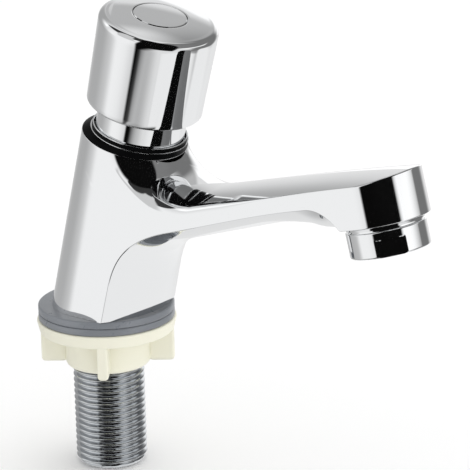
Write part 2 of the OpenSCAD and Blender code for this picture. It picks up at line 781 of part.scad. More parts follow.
// Housing with a groove under the nose, a thread above it and two spanner flats
module aerator_housing() {
    neck_r = aerator_r - 0.7;
    flat_h = aerator_h * 0.68;
    flat_turn = -47;
    edge = 0.5;
    lip = 0.9;
    color(chrome) on_outlet_axis() difference() {
        union() {
            cylinder(r1 = aerator_r - edge, r2 = aerator_r, h = edge);
            translate([0, 0, edge]) cylinder(r = aerator_r, h = aerator_h - edge);
            translate([0, 0, aerator_h - 1]) cylinder(r = neck_r, h = nose_gap() + 1 - seat_gap * 2);
            translate([0, 0, aerator_h]) cylinder(r = outlet_r, h = nose_gap() + aerator_thread_l);
        }
        translate([0, 0, lip]) cylinder(r = aerator_bore_r, h = reach);
        translate([0, 0, -1]) cylinder(r = aerator_bore_r - 0.9, h = reach);
        for (k = [0, 180]) rotate([0, 0, flat_turn + k])
            translate([aerator_r - flat_depth, -aerator_r, -1]) cube([5, aerator_r * 2, flat_h + 1]);
    }
}

// Flow straightener: a plastic plug with rings of holes
module aerator_insert() {
    low = 2.2;
    high = aerator_h + nose_gap() + aerator_thread_l - 0.2;
    hole_r = 0.75;
    rows = 3;
    step = (aerator_bore_r - 1.2) / (rows + 0.2);
    color("whitesmoke") on_outlet_axis() difference() {
        translate([0, 0, low]) cylinder(r = aerator_bore_r - seat_gap, h = high - low);
        for (row = [1:rows], k = [0:row * 6 - 1]) rotate([0, 0, k * 60 / row])
            translate([row * step, 0, 0]) cylinder(r = hole_r, h = reach, $fn = 16);
    }
}

// Mesh discs under the insert: a thin plate with a square pattern of openings
module aerator_mesh() {
    low = 1;
    thick = 0.9;
    opening = 1.3;
    pitch = 1.9;
    side = floor((aerator_bore_r - 1.6) / pitch);
    color(steel) on_outlet_axis() difference() {
        translate([0, 0, low]) cylinder(r = aerator_bore_r - seat_gap, h = thick);
        for (i = [-side:side], j = [-side:side]) if (norm([i, j]) * pitch < aerator_bore_r - 2.2)
            translate([i * pitch - opening / 2, j * pitch - opening / 2, low - 1])
                cube([opening, opening, 3]);
    }
}

module aerator_washer() {
    low = aerator_h + nose_gap() + aerator_thread_l + seat_gap;
    color(black_rubber) on_outlet_axis() tube(outlet_r - 0.1, outlet_chamber_r - 1, low, low + 0.9);
}

tap_body();
base_gasket();
threaded_shank();
shank_seal();
inlet_filter();
deck_washer();
back_nut();
cartridge_sleeve();
sleeve_o_ring();
gland_collar();
gland_o_ring();
spindle_seal();
metering_pin();
spring_washer();
return_spring();
push_knob();
knob_disc();
knob_screw();
spindle();
piston();
piston_lip_seal();
valve_washer();
washer_plate();
valve_nut();
aerator_housing();
aerator_insert();
aerator_mesh();
aerator_washer();
rim_ring();
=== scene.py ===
import json
import math

import bmesh
import bpy
import numpy as np
from bpy.props import FloatProperty, FloatVectorProperty, IntProperty, PointerProperty
from mathutils import Matrix


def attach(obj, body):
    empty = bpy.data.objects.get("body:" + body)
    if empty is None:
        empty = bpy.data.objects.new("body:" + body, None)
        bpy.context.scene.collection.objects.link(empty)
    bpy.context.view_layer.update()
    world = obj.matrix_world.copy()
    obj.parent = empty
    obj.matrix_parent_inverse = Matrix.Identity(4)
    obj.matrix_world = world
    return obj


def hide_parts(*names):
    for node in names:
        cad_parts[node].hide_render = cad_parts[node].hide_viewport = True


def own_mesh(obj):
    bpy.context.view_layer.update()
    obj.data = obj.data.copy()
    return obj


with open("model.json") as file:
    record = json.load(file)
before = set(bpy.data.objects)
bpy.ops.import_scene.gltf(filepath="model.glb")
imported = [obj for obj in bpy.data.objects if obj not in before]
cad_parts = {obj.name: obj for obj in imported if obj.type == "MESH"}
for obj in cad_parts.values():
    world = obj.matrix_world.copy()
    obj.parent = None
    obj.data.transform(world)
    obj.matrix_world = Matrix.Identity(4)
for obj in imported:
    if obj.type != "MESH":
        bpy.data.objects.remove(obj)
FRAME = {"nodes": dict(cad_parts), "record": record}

bl_info = {
    "name": "Push timed tap",
    "version": (1, 0, 0),
    "blender": (4, 5, 0),
    "location": "View3D > Sidebar > Tap",
    "description": "Builds the visible pieces of a self-closing push tap on its CAD frame",
    "category": "Add Mesh",
}

MM = 0.001


def length(name, default_mm, description):
    """A length property, stated here in millimetres and kept in metres."""
    return FloatProperty(
        name=name, description=description, default=default_mm * MM, unit="LENGTH", precision=5
    )


def angle(name, default_deg, description):
    """An angle property, stated here in degrees and kept in radians."""
    return FloatProperty(
        name=name, description=description, default=math.radians(default_deg), subtype="ANGLE"
    )


def number(name, default, description):
    """A property without a unit."""
    return FloatProperty(name=name, description=description, default=default)


def colour(name, default, description):
    """A colour property, stated as an sRGB hex number and kept as linear values."""
    return FloatVectorProperty(
        name=name, description=description, default=linear(default), size=3, subtype="COLOR", min=0, max=1
    )


def linear(code):
    """Linear red, green and blue of an sRGB hex number."""
    parts = [((code >> shift) & 255) / 255 for shift in (16, 8, 0)]
    return tuple(p / 12.92 if p <= 0.04045 else ((p + 0.055) / 1.055) ** 2.4 for p in parts)


class TapAxes(bpy.types.PropertyGroup):
    """Leaning axes that every piece above the deck stands on."""

    knob_lean: angle("Knob lean", 15, "Forward lean of knob, collar and cartridge")
    column_lean: angle("Column lean", 13.73, "Forward lean of the cast column")
    rise: angle("Spout rise", 14, "Rise of the spout and backward lean of the outlet")
    drop: length("Axis drop", 2.2, "Depth at which the leaning axes meet the shank axis")
    outlet_x: length("Outlet reach", 106.8, "Distance of the outlet centre from the shank axis")
    outlet_z: length("Outlet height", 37.7, "Height of the aerator's lower face above the deck")


class TapBody(bpy.types.PropertyGroup):
    """Sizes of the casting."""

    foot_r: length("Foot radius", 16.4, "Column radius at the foot")
    rim_r: length("Rim radius", 15.4, "Column radius at the rim")
    rim_s: length("Rim height", 58.7, "Height of the rim along the knob axis")
    rim_back: length("Rim set-back", 1.3, "Distance of the rim's centre behind the knob axis")
    rim_edge: length("Rim edge", 0.15, "Radius of the cast rim's outer edge")
    ring_t: length("Rim ring", 1.7, "Height of the black ring between rim and collar flange")
    crease_r: length("Crease", 0.32, "Width of the soft edge along the creases")
    foot_z: length("Foot height", 2.2, "Height of the casting's lower face above the deck")
    crest: length("Spout crest", 22.7, "Height of the spout's top over the aerator's lower face")
    nose_low: length("Nose face", 8.75, "Height of the nose's lower face over the aerator's")
    nose_r: length("Nose radius", 13.1, "Radius of the round nose over the aerator")
    edge: length("Top edge", 2.6, "Width of the softened edge between flank and top")
    saddle: length("Saddle reach", 18, "Reach of the fillet between column and spout top")
    crease_d: length("Crease distance", 11.15, "Distance of the front crease from the knob axis")
    front_bulge: length("Front bulge", 4.9, "Bulge of the front face between its creases")
    draft: number("Flank draft", 0.023, "Narrowing of the flanks per unit of reach")


class TapKnob(bpy.types.PropertyGroup):
    """Sizes of the press knob and the collar under it."""

    top_r: length("Top radius", 17.2, "Knob radius at its top edge")
    low_r: length("Lower radius", 16.65, "Knob radius at its lower edge")
    crest_s: length("Crest height", 97.6, "Height of the knob's crest along the knob axis")
    edge_s: length("Edge height", 94.2, "Height at which the knob's side turns into its top edge")
    under_s: length("Lower edge height", 69.7, "Height at which the round lower edge starts")
    skirt_top_s: length("Skirt top", 68.3, "Height at which the round lower edge meets the skirt")
    skirt_r: length("Skirt radius", 12.9, "Outside radius of the skirt")
    skirt_low_s: length("Skirt end", 60.8, "Height of the skirt's lower end at rest")
    edge_r: length("Top edge radius", 2.1, "Radius of the knob's top edge")
    disc_r: length("Disc radius", 7.8, "Radius of the disc in the knob's top")
    groove: length("Disc groove", 0.22, "Width of the groove round the disc")
    collar_r: length("Collar radius", 14.2, "Radius of the collar's flange")
    neck_r: length("Collar neck", 13.75, "Radius of the collar above and below its flange")
    collar_top: length("Collar top", 3.3, "Height of the collar's lip over the rim")
    collar_bore: length("Collar bore", 13.1, "Inside radius of the collar")
    travel: length("Travel", 4.5, "Travel of the knob when it is pressed")
    spring_r: length("Spring radius", 7.8, "Radius of the return spring at the middle of its wire")
    wire_r: length("Wire radius", 0.7, "Radius of the spring's wire")
    spring_low_s: length("Spring foot", 57.2, "Height of the spring's lower end")
    spring_top_s: length("Spring top", 89.9, "Height of the spring's upper end at rest")
    turns: IntProperty(name="Spring turns", description="Turns of the return spring", default=7)


class TapFixing(bpy.types.PropertyGroup):
    """Sizes of shank, rubber rings and back nut."""

    thread_r: length("Thread radius", 10.4775, "Outside radius of the half inch pipe thread")
    thread_depth: length("Thread depth", 1.162, "Depth of the thread")
    pitch: length("Thread pitch", 1.814, "Pitch of the thread")
    shank_low: length("Shank end", 46.7, "Depth of the shank's end under the deck")
    shank_top: length("Shank top", 9.8, "Height of the shank's end inside the casting")
    shank_bore: length("Shank bore", 7.0, "Radius of the bore through the shank")
    ring_r: length("Ring radius", 20.0, "Outside radius of the rubber rings")
    ring_t: length("Ring thickness", 2.2, "Thickness of a rubber ring")
    flange_r: length("Flange radius", 20.5, "Radius of the back nut's flange")
    flange_t: length("Flange thickness", 3.9, "Thickness of the back nut's flange")
    hub_r: length("Hub radius", 12.5, "Radius of the back nut's hub")
    nut_h: length("Nut height", 14.4, "Height of the back nut")
    wing_t: length("Wing thickness", 3.3, "Thickness of a wing")
    wing_turn: angle("Wing turn", 38, "Direction of the first wing from the spout")


class TapOutlet(bpy.types.PropertyGroup):
    """Sizes of the aerator housing."""

    radius: length("Housing radius", 11.2, "Outside radius of the aerator housing")
    height: length("Housing height", 7.2, "Height of the housing under its groove")
    bore: length("Housing bore", 7.7, "Radius of the opening in the housing's lower face")
    groove_r: length("Groove radius", 10.5, "Radius in the groove above the housing")
    flat: length("Flat distance", 10.4, "Distance of a spanner flat from the outlet axis")
    flat_h: length("Flat height", 4.9, "Height of a spanner flat")
    flat_turn: angle("Flat turn", -47, "Direction of the first flat from the spout")


class TapFinish(bpy.types.PropertyGroup):
    """Colours of the materials."""

    chrome: colour("Chrome", 0xF0F1F2, "Polished chrome plate")
    # Chrome on the thread, tinted darker than the polished chrome: painted shade on the thread
    thread: colour("Thread", 0xCFD2D5, "Chrome darkened as painted shade on the thread")
    grey_rubber: colour("Grey rubber", 0x7E8288, "Rubber rings at the deck")
    cream: colour("Cream plastic", 0xF1EFDD, "Back nut")
    brass: colour("Brass", 0xC9A35A, "Cartridge sleeve and valve pieces")
    steel: colour("Steel", 0xC2C5C8, "Spring, spindle and mesh")
    black_rubber: colour("Black rubber", 0x0A0A0B, "Ring on the rim and seals inside")
    white_plastic: colour("White plastic", 0xF0F0EE, "Flow straightener, piston and filter")
    fibre: colour("Red fibre", 0x8C4330, "Seal on the shank")


class TapStage(bpy.types.PropertyGroup):
    """Camera, floor and light."""

    azimuth: angle("Azimuth", 41.2, "Direction of the camera round the object")
    elevation: angle("Elevation", 17.37, "Height of the camera over the horizon")
    roll: angle("Roll", 1.57, "Turn of the picture")
    distance: length("Distance", 1027.05, "Distance of the camera from the plane of the origin")
    offset_x: length("Offset across", -38.23, "Place of the origin across the picture")
    offset_y: length("Offset up", -22.43, "Place of the origin up the picture")
    lens: number("Lens", 268.085, "Focal length in millimetres")
    floor: length("Floor", -47.2, "Height of the floor")
    room: number("Room", 0.8, "Brightness of the white room in reflections")
    soft_light: number("Soft light", 1.06, "Strength of the soft light on matt pieces")
    side_light: number("Side light", 0.45, "Share by which the soft light grows to the right")
    backdrop: colour("Backdrop", 0xFFFFFF, "Colour that the camera sees behind the object")


def settings(name):
    """The property group of that name on the scene."""
    return getattr(bpy.context.scene, "tap_" + name)


def mm(value):
    """Millimetres of a length in metres."""
    return value / MM


# Meshes

# Direction across the object
ACROSS = np.array([0.0, 1.0, 0.0])
# Base point, axis and first direction of what is turned round the shank axis
UPRIGHT = ((0, 0, 0), (0, 0, 1), (1, 0, 0))


def grid_faces(rows, columns, closed, start):
    """Quads of a grid, numbered row by row; a closed grid joins its last column to its first."""
    i = start + np.arange(rows - 1)[:, None] * columns
    j = np.arange(columns if closed else columns - 1)[None, :]
    k = (j + 1) % columns
    return np.stack([i + j, i + k, i + columns + k, i + columns + j], -1).reshape(-1, 4)


class Patchwork:
    """Collects grids of points, in millimetres, into the vertices and quads of one mesh."""

    def __init__(self):
        self.points, self.faces, self.count = [], [], 0

    def add(self, grid, closed=False, flip=False):
        """Add a grid of rows by columns; a flipped one is seen from its other side."""
        rows, columns = grid.shape[:2]
        quads = grid_faces(rows, columns, closed, self.count)
        self.points.append(grid.reshape(-1, 3))
        self.faces.append(quads[:, ::-1] if flip else quads)
        self.count += rows * columns

    def make(self, name, material, weld=True, sharp=35):
        """A smooth-shaded object, welded where the patches meet and sharp above an angle in degrees."""
        mesh = bpy.data.meshes.new(name)
        points, quads = np.concatenate(self.points) * MM, np.concatenate(self.faces)
        mesh.from_pydata(points.tolist(), [], quads.tolist())
        work = bmesh.new()
        work.from_mesh(mesh)
        if weld:
            bmesh.ops.remove_doubles(work, verts=work.verts, dist=2e-6)
        bmesh.ops.dissolve_degenerate(work, edges=work.edges, dist=1e-7)
        work.to_mesh(mesh)
        work.free()
        mesh.polygons.foreach_set("use_smooth", np.ones(len(mesh.polygons), dtype=bool))
        mesh.set_sharp_from_angle(angle=math.radians(sharp))
        mesh.materials.append(material)
        obj = bpy.data.objects.new(name, mesh)
        bpy.context.scene.collection.objects.link(obj)
        return obj


def spokes(across, side, count):
    """Directions across cos(a) + side sin(a) for evenly spaced angles a."""
    a = np.linspace(0, 2 * np.pi, count, endpoint=False)[:, None]
    return np.cos(a) * across + np.sin(a) * side


def lathe(profile, base, axis, across, count):
    """Points base + axis h + (across cos a + side sin a) r, for each (r, h) of the profile and angle a."""
    axis, across = np.asarray(axis, float), np.asarray(across, float)
    ring = spokes(across, np.cross(axis, across), count)
    r, h = np.asarray(profile, float).T
    return np.asarray(base, float) + h[:, None, None] * axis + r[:, None, None] * ring[None]


def turned(name, key, profile, frame, count, sharp):
    """An object of that material turned from a profile; frame is base point, axis and first direction."""
    patches = Patchwork()
    patches.add(lathe(profile, *frame, count), closed=True)
    return patches.make(name, material(key), sharp=sharp)


def corner_arc(centre, radius, start, end, count):
    """Profile points on an arc, angles in degrees from outwards to upwards."""
    a = np.radians(np.linspace(start, end, count))
    return np.stack([centre[0] + radius * np.cos(a), centre[1] + radius * np.sin(a)], -1)


def eased(x):
    """3 x^2 - 2 x^3 between 0 and 1."""
    x = np.clip(x, 0, 1)
    return x * x * (3 - 2 * x)


def ramp(x, start, span):
    """Eased rise from 0 at the start to 1 a span further on."""
    return eased((x - start) / span)


def leaning(lean):
    """An axis that leans forward by an angle, and the forward direction square to it."""
    s, c = math.sin(lean), math.cos(lean)
    return np.array([s, 0, c]), np.array([c, 0, -s])


def knob_frame():
    """Base point, axis and forward direction of the knob, in millimetres."""
    axes = settings("axes")
    return np.array([0, 0, -mm(axes.drop)]), *leaning(axes.knob_lean)


def outlet_frame():
    """Centre of the aerator's lower face, axis and forward direction of the outlet, in millimetres."""
    axes = settings("axes")
    return np.array([mm(axes.outlet_x), 0, mm(axes.outlet_z)]), *leaning(-axes.rise)


# The casting


class Casting:
    """The casting as a solid: inside where solid(P) < 0. All lengths are in millimetres.

    A place (x, h) is x along the spout and h over the aerator's lower face, from the outlet's centre.
    """

    # Crease: ends of its front, ends and slope of the underside, pulls at the elbow, fall to the nose
    FRONT = (-0.4, 19.06)
    UNDER_START, UNDER_END, UNDER_SLOPE = (-67.48, 12.73), (-18.13, 15.53), 0.0575
    FRONT_PULL, UNDER_PULL = 10.1, 14.87
    FALL_START, FALL_SPAN, FALL_POWER = -16.0, 10.95, 2.2
    # Spout top: slope, sag of its edges with the gain and limits of that, fall of the tip
    TOP_SLOPE = 0.008
    SAG, SAG_GAIN, SAG_LIMITS = 1.9, 0.028, (1.5, 5)
    TIP_FALL, TIP_START, TIP_SPAN = 0.9, -20, 33
    # Mean radius of the rim's outline seen along the spout's normal, as a share of its radius
    MEAN_R = 0.94
    # Soft edge of the top: distance from the rim at which it is full, and share that it loses at the nose
    SOFT_REACH, CRISPNESS = 6, 0.86
    # Middle of the underside: height at the outlet, and slope
    KEEL, KEEL_SLOPE = 13.25, math.tan(math.radians(4))
    # Stretches along the spout, as start and span, over which one form turns into the next
    PLANES_SETTLE = (UNDER_START[0], 25)
    FRONT_TO_UNDER = (-84, 16)
    EDGE_FOLLOWED = (-78, 24)
    EDGE_CRISP = (-50, 24)
    KEEL_TO_NOSE = (-36, 22)
    NOSE_FLAT = (-22, 14)
    # Hole for the gland in the rim
    HOLE_R, HOLE_D = 13.6, 3.0
    # Section planes on the front, through the rim, under the spout and round the nose, and the longest ray
    FRONT_PLANES, RIM_PLANES, SPOUT_PLANES, NOSE_PLANES, LONGEST = 60, 110, 170, 40, 64.0

    def __init__(self):
        body, axes = settings("body"), settings("axes")
        self.base, self.axis, self.ahead = knob_frame()
        self.out, self.up, self.along = outlet_frame()
        self.column_axis, self.column_ahead = leaning(axes.column_lean)
        self.tilt = axes.knob_lean + axes.rise
        self.foot_r, self.rim_r, self.rim_s = mm(body.foot_r), mm(body.rim_r), mm(body.rim_s)
        self.foot_z, self.draft, self.soft = mm(body.foot_z), body.draft, mm(body.edge)
        self.crest, self.nose_low, self.nose_r = mm(body.crest), mm(body.nose_low), mm(body.nose_r)
        self.saddle, self.crease_d = mm(body.saddle), mm(body.crease_d)
        self.front_bulge, self.crease_r = mm(body.front_bulge), mm(body.crease_r)
        self.rim_edge = mm(body.rim_edge)
        self.rim = self.base + self.axis * (self.rim_s - self.rim_edge) - self.ahead * mm(body.rim_back)
        self.rim_x, self.rim_h = self.spot(self.rim)

    def spot(self, p):
        """Places x and h of points P."""
        return (p - self.out) @ self.along, (p - self.out) @ self.up

    def place(self, x, h):
        """Points at the places x and h, in the plane y = 0."""
        return self.out + self.along * x + self.up * h

    def top(self, x, y):
        """Height of the spout's top, crest - sag (y / w)^2, and distance from the rim's outline.

        A quarter ellipse round the column lifts the top to the rim, and it falls a little towards the tip.
        The distance is below 0 inside the outline.
        """
        wide = self.nose_r - self.draft * x
        sag = np.clip(self.SAG - self.SAG_GAIN * x, *self.SAG_LIMITS)
        tip = np.maximum(x - self.TIP_START, 0) / self.TIP_SPAN
        crown = self.crest + self.TOP_SLOPE * x - sag * (y / wide) ** 2 - self.TIP_FALL * tip**2
        q = np.hypot((x - self.rim_x) / (self.rim_r * math.cos(self.tilt)), y / self.rim_r) + 1e-9
        away = (q - 1) * self.rim_r * self.MEAN_R
        foot = (x - self.rim_x) / q
        rim = self.rim_h - foot * math.tan(self.tilt)
        near = np.clip(1 - away / self.saddle, 0, 1)
        return crown + (rim - crown) * (1 - np.sqrt(1 - near * near)), away

    def solid(self, p):
        """max(side, top) with a soft edge: max(a, b) + max(k - |a - b|, 0)^2 / 4k."""
        q = p - self.base
        t, d, y = q @ self.column_axis, q @ self.column_ahead, np.abs(p[..., 1])
        radius = self.foot_r + (self.rim_r - self.foot_r) * t / self.rim_s
        x, h = self.spot(p)
        round_back = np.hypot(d, y) - radius
        flank = y * math.sqrt(1 - self.draft**2) + d * self.draft - radius
        nose = np.hypot(np.maximum(x, 0), y) - (y - flank)
        side = np.where(d < self.draft * radius, round_back, np.where(x > 0, nose, flank))
        roof, away = self.top(x, p[..., 1])
        cap = q @ self.axis - self.rim_s + self.rim_edge
        over = np.where((away < 0) | (d < 0), cap, h - roof)
        crisp = 1 - self.CRISPNESS * ramp(x, *self.EDGE_CRISP)
        k = self.soft * np.clip(away / self.SOFT_REACH, 0.01, 1) * crisp
        return np.maximum(side, over) + np.maximum(k - np.abs(side - over), 0) ** 2 / (4 * k)

    def crease(self, count=3000):
        """The sharp line between flank and underside in the plane y = 0, and each section plane's angle.

        A line up the front, cubics through the elbow and under the spout, a power curve down to the nose.
        """
        u = np.linspace(0, 1, count // 3)[:, None]

        def cubic(a, b, c, d):
            return (1 - u) ** 3 * a + 3 * (1 - u) ** 2 * u * b + 3 * (1 - u) * u * u * c + u**3 * d

        low = self.base + self.ahead * self.crease_d
        line = low + self.axis * np.linspace(*self.FRONT, count // 6)[:, None]
        slope = self.along * math.cos(self.UNDER_SLOPE) + self.up * math.sin(self.UNDER_SLOPE)
        (start_x, _), (end_x, end_h) = self.UNDER_START, self.UNDER_END
        a, d = low + self.axis * self.FRONT[1], self.place(*self.UNDER_START)
        elbow = cubic(a, a + self.axis * self.FRONT_PULL, d - slope * self.UNDER_PULL, d)
        end, third = self.place(end_x, end_h), (end_x - start_x) / 3
        under = cubic(d, d + slope * third, end - self.along * third, end)
        x = np.linspace(end_x, 0, count // 3)[:, None]
        fallen = (np.maximum(x - self.FALL_START, 0) / self.FALL_SPAN) ** self.FALL_POWER
        nose = self.place(x, np.maximum(end_h - (end_h - self.nose_low) * fallen, self.nose_low))
        points = np.concatenate([line, elbow[1:], under[1:], nose[1:]])
        step = np.gradient(points, axis=0)
        turn = np.arctan2(step[:, 2], step[:, 0]) + math.pi / 2
        settled = math.atan2(self.up[2], self.up[0])
        back = len(line) + len(elbow) - 1
        reach, _ = self.spot(points[back:])
        turn[back:] = settled + (turn[back - 1] - settled) * (1 - ramp(reach, *self.PLANES_SETTLE))
        return points, turn

    def rim_cosine(self, origin, ahead):
        """cos(theta) = -T.(c - O) / (r T.e) where a section plane meets the rim's circle."""
        across = np.maximum(ahead @ self.ahead, 1e-6)
        return -np.einsum("ij,ij->i", ahead, self.rim - origin) / (self.rim_r * across)

    def stations(self, margin=0.16):
        """Section planes: origin O on the crease, side S, direction N in the plane, end angle of its curve.

        A plane that meets the rim's circle ends there. Such planes are spaced evenly in theta, but for a
        margin at both ends, where they would nearly coincide; the others are spaced along the crease. A fan
        of planes rounds the nose.
        """
        points, turn = self.crease()
        normal = np.stack([np.cos(turn), 0 * turn, np.sin(turn)], -1)
        ahead = np.stack([np.sin(turn), 0 * turn, -np.cos(turn)], -1)
        along = np.concatenate([[0], np.cumsum(np.linalg.norm(np.diff(points, axis=0), axis=1))])
        cosine = self.rim_cosine(points, ahead)
        first, last = np.interp([-1, 1], cosine, along)
        theta = np.concatenate([[0], np.linspace(margin, np.pi - margin, self.RIM_PLANES), [np.pi]])
        front = np.linspace(0, first, self.FRONT_PLANES)[:-1]
        spout = np.linspace(last, along[-1], self.SPOUT_PLANES)[1:]
        places = np.concatenate([front, np.interp(-np.cos(theta), cosine, along), spout])

        def at(values):
            return np.stack([np.interp(places, along, column) for column in values.T], -1)

        origin, n = at(points), at(normal)
        n /= np.linalg.norm(n, axis=1)[:, None]
        t = np.stack([n[:, 2], 0 * n[:, 0], -n[:, 0]], -1)
        c = np.clip(self.rim_cosine(origin, t), -1, 1)
        rim = self.rim + self.rim_r * c[:, None] * self.ahead
        end = np.arctan2(np.einsum("ij,ij->i", rim - origin, n), self.rim_r * np.sqrt(1 - c * c))
        end = np.where(np.abs(c) < 1, end, np.pi / 2)
        nose = np.linspace(0, np.pi / 2, self.NOSE_PLANES)[1:, None]
        fan = np.sin(nose) * self.along - np.cos(nose) * ACROSS
        tip = self.place(0, self.nose_low)
        return (
            np.concatenate([origin, np.tile(tip, (len(fan), 1))]),
            np.concatenate([np.tile(-ACROSS, (len(origin), 1)), fan]),
            np.concatenate([n, np.tile(self.up, (len(fan), 1))]),
            np.concatenate([end, np.full(len(fan), np.pi / 2)]),
            len(origin),
        )

    def edge_angle(self, origin, side, end):
        """Angle at which a section meets the edge between flank and top, and how far this counts.

        It counts for nothing near the column.
        """
        reach, height = self.spot(origin)
        wide = self.nose_r - self.draft * reach
        roof, _ = self.top(reach + wide * (side @ self.along), wide * side[:, 1])
        share = ramp(reach, *self.EDGE_FOLLOWED)
        return end / 2 + share * (np.arctan2(roof - height, wide) - end / 2), share

    def skin(self, columns=101, crowding=0.6):
        """Points where rays O + rho (S cos(psi) + N sin(psi)) leave the solid.

        They are found by steps and then by halving. The middle column follows the edge of the spout's top,
        and its neighbours crowd towards it.
        """
        origin, side, normal, end, straight = self.stations()
        edge, share = (v[:, None] for v in self.edge_angle(origin, side, end))
        u = np.linspace(-1, 1, columns)[None, :]
        spread = np.sign(u) * np.abs(u) ** (1 + crowding * share)
        psi = edge + np.where(u < 0, edge, end[:, None] - edge) * spread
        ray = np.cos(psi)[..., None] * side[:, None] + np.sin(psi)[..., None] * normal[:, None]
        start = origin[:, None]
        low = np.zeros(psi.shape)
        open_yet = np.ones(psi.shape, bool)
        for rho in np.arange(1.0, self.LONGEST):
            open_yet &= self.solid(start + ray * rho) < 0
            low = np.where(open_yet, rho, low)
        high = low + 1.0
        for _ in range(26):
            middle = (low + high) / 2
            inside = self.solid(start + ray * middle[..., None]) < 0
            low, high = np.where(inside, middle, low), np.where(inside, high, middle)
        return start + ray * low[..., None], origin, normal, straight

    def to_foot(self, points):
        """Points under the casting's lower face moved up to it along the knob axis."""
        lift = np.maximum(self.foot_z - points[..., 2], 0) / self.axis[2]
        return points + lift[..., None] * self.axis

    def belly(self, origin, normal, half, columns=41):
        """Front face and underside: O + w h Y - N b (1 - |w|^n) across each section, w from -1 to 1."""
        reach, height = self.spot(origin)
        keel = self.KEEL + reach * self.KEEL_SLOPE
        keel = keel + (self.nose_low - keel) * ramp(reach, *self.KEEL_TO_NOSE)
        share = ramp(reach, *self.FRONT_TO_UNDER)
        bulge = self.front_bulge * (1 - share) + np.maximum(height - keel, 0) * share
        power = 2 + 3 * ramp(reach, *self.NOSE_FLAT)
        w = np.linspace(-1, 1, columns)[None, :, None]
        arch = bulge[:, None, None] * (1 - np.abs(w) ** power[:, None, None])
        return origin[:, None] + w * half[:, None, None] * ACROSS - normal[:, None] * arch

    def beside(self, crease, other, most=0.6):
        """Points a crease's width away from it, or most of the way, towards others on the same face."""
        step = other - crease
        span = np.linalg.norm(step, axis=1)[:, None]
        return crease + step * np.minimum(self.crease_r / np.maximum(span, 1e-9), most)

    def rim_ring(self):
        """Round edge and flat face of the cast rim, from the casting's outline in to the gland's hole."""
        out = spokes(self.ahead, ACROSS, 240)
        bend = np.linspace(0, np.pi / 2, 7)[:, None, None]
        inset, lift = self.rim_edge * (1 - np.cos(bend)), self.rim_edge * np.sin(bend)
        edge = self.rim + out * (self.rim_r - inset) + self.axis * lift
        inner = self.base + self.axis * self.rim_s + out * self.HOLE_R
        middle = edge[-1] + (inner - edge[-1]) / 2
        return np.stack([*edge, middle, inner, inner - self.axis * self.HOLE_D])


class TAP_OT_body(bpy.types.Operator):
    """Build the casting: one skin for column, flanks and spout top, one for front face and underside"""

    bl_idname = "tap.body"
    bl_label = "Casting"

    def execute(self, context):
        cast = Casting()
        skin, origin, normal, straight = cast.skin()
        patches = Patchwork()
        mirror = np.array([1.0, -1.0, 1.0])
        near = cast.to_foot(skin)
        half = -skin[:straight, 0, 1]
        belly = cast.to_foot(cast.belly(origin[:straight], normal[:straight], half))
        crease = near[:, 0].copy()
        centre = cast.place(0, cast.nose_low)
        inward = np.concatenate([belly[:, 1], np.tile(centre, (len(crease) - straight, 1))])
        above, below = cast.beside(crease, near[:, 1]), cast.beside(crease, inward)
        near[:, 0], belly[:, 0], belly[:, -1] = above, below[:straight], below[:straight] * mirror
        u = np.linspace(0, 1, 7)[None, :, None]
        soft = (1 - u) ** 2 * above[:, None] + 2 * u * (1 - u) * crease[:, None] + u * u * below[:, None]
        for grid, flip in ((near, True), (soft, False)):
            patches.add(grid, flip=flip)
            patches.add(grid * mirror, flip=not flip)
        patches.add(belly)
        edge = below[straight - 1 :]
        edge = np.concatenate([edge, (edge * mirror)[::-1][1:]])
        share = np.linspace(0, 1, 8)[:, None, None]
        patches.add(centre + share * (edge - centre)[None])
        patches.add(cast.rim_ring(), closed=True)
        obj = patches.make("casting", material("chrome"), sharp=24)
        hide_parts("tap_body")
        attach(obj, "tap")
        return {"FINISHED"}


class TAP_OT_knob(bpy.types.Operator):
    """Build the press knob and its disc as turned surfaces"""

    bl_idname = "tap.knob"
    bl_label = "Press knob"

    def execute(self, context):
        k = settings("knob")
        frame = knob_frame()
        top_r, low_r, skirt = mm(k.top_r), mm(k.low_r), mm(k.skirt_r)
        edge_r, edge_s, crest = mm(k.edge_r), mm(k.edge_s), mm(k.crest_s)
        under, skirt_top, skirt_low = mm(k.under_s), mm(k.skirt_top_s), mm(k.skirt_low_s)
        disc_r, lip = mm(k.disc_r), mm(k.disc_r) + mm(k.groove)
        wall, bevel, well_d, hollow = 1.5, 0.3, 1.4, 20
        dome = (crest - edge_s - edge_r) / (top_r - edge_r) ** 2

        def crown(r):
            return crest - dome * np.asarray(r) ** 2

        fall = np.radians(np.linspace(90, 0, 17))
        low_edge = [low_r - (low_r - skirt) * (1 - np.cos(fall)), under - (under - skirt_top) * np.sin(fall)]
        side = [np.linspace(low_r, top_r, 24), np.linspace(under, edge_s, 24)]
        r_top = np.linspace(top_r - edge_r, lip + 0.25, 20)
        profile = np.concatenate([
            [[skirt - wall, skirt_top + hollow], [skirt - wall, skirt_low + bevel]],
            [[skirt - wall + bevel, skirt_low], [skirt - bevel, skirt_low], [skirt, skirt_low + bevel]],
            np.stack(low_edge, -1),
            np.stack(side, -1)[1:],
            corner_arc((top_r - edge_r, edge_s), edge_r, 0, 84, 13)[1:],
            np.stack([r_top, crown(r_top)], -1)[1:],
            [[lip, crown(lip) - 0.1], [lip, crown(lip) - well_d], [0.05, crown(0) - well_d]],
        ])
        knob = turned("press_knob", "chrome", profile, frame, 200, 32)
        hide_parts("push_knob")
        r_disc = np.linspace(disc_r - 0.2, 0.02, 16)
        disc = np.concatenate([
            [[disc_r, crown(disc_r) - 1.3], [disc_r, crown(disc_r) - 0.18]],
            np.stack([r_disc, crown(r_disc) + 0.02], -1),
        ])
        plate = turned("knob_plate", "chrome", disc, frame, 120, 40)
        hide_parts("knob_disc")
        for obj in (knob, plate):
            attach(obj, "plunger")
        return {"FINISHED"}


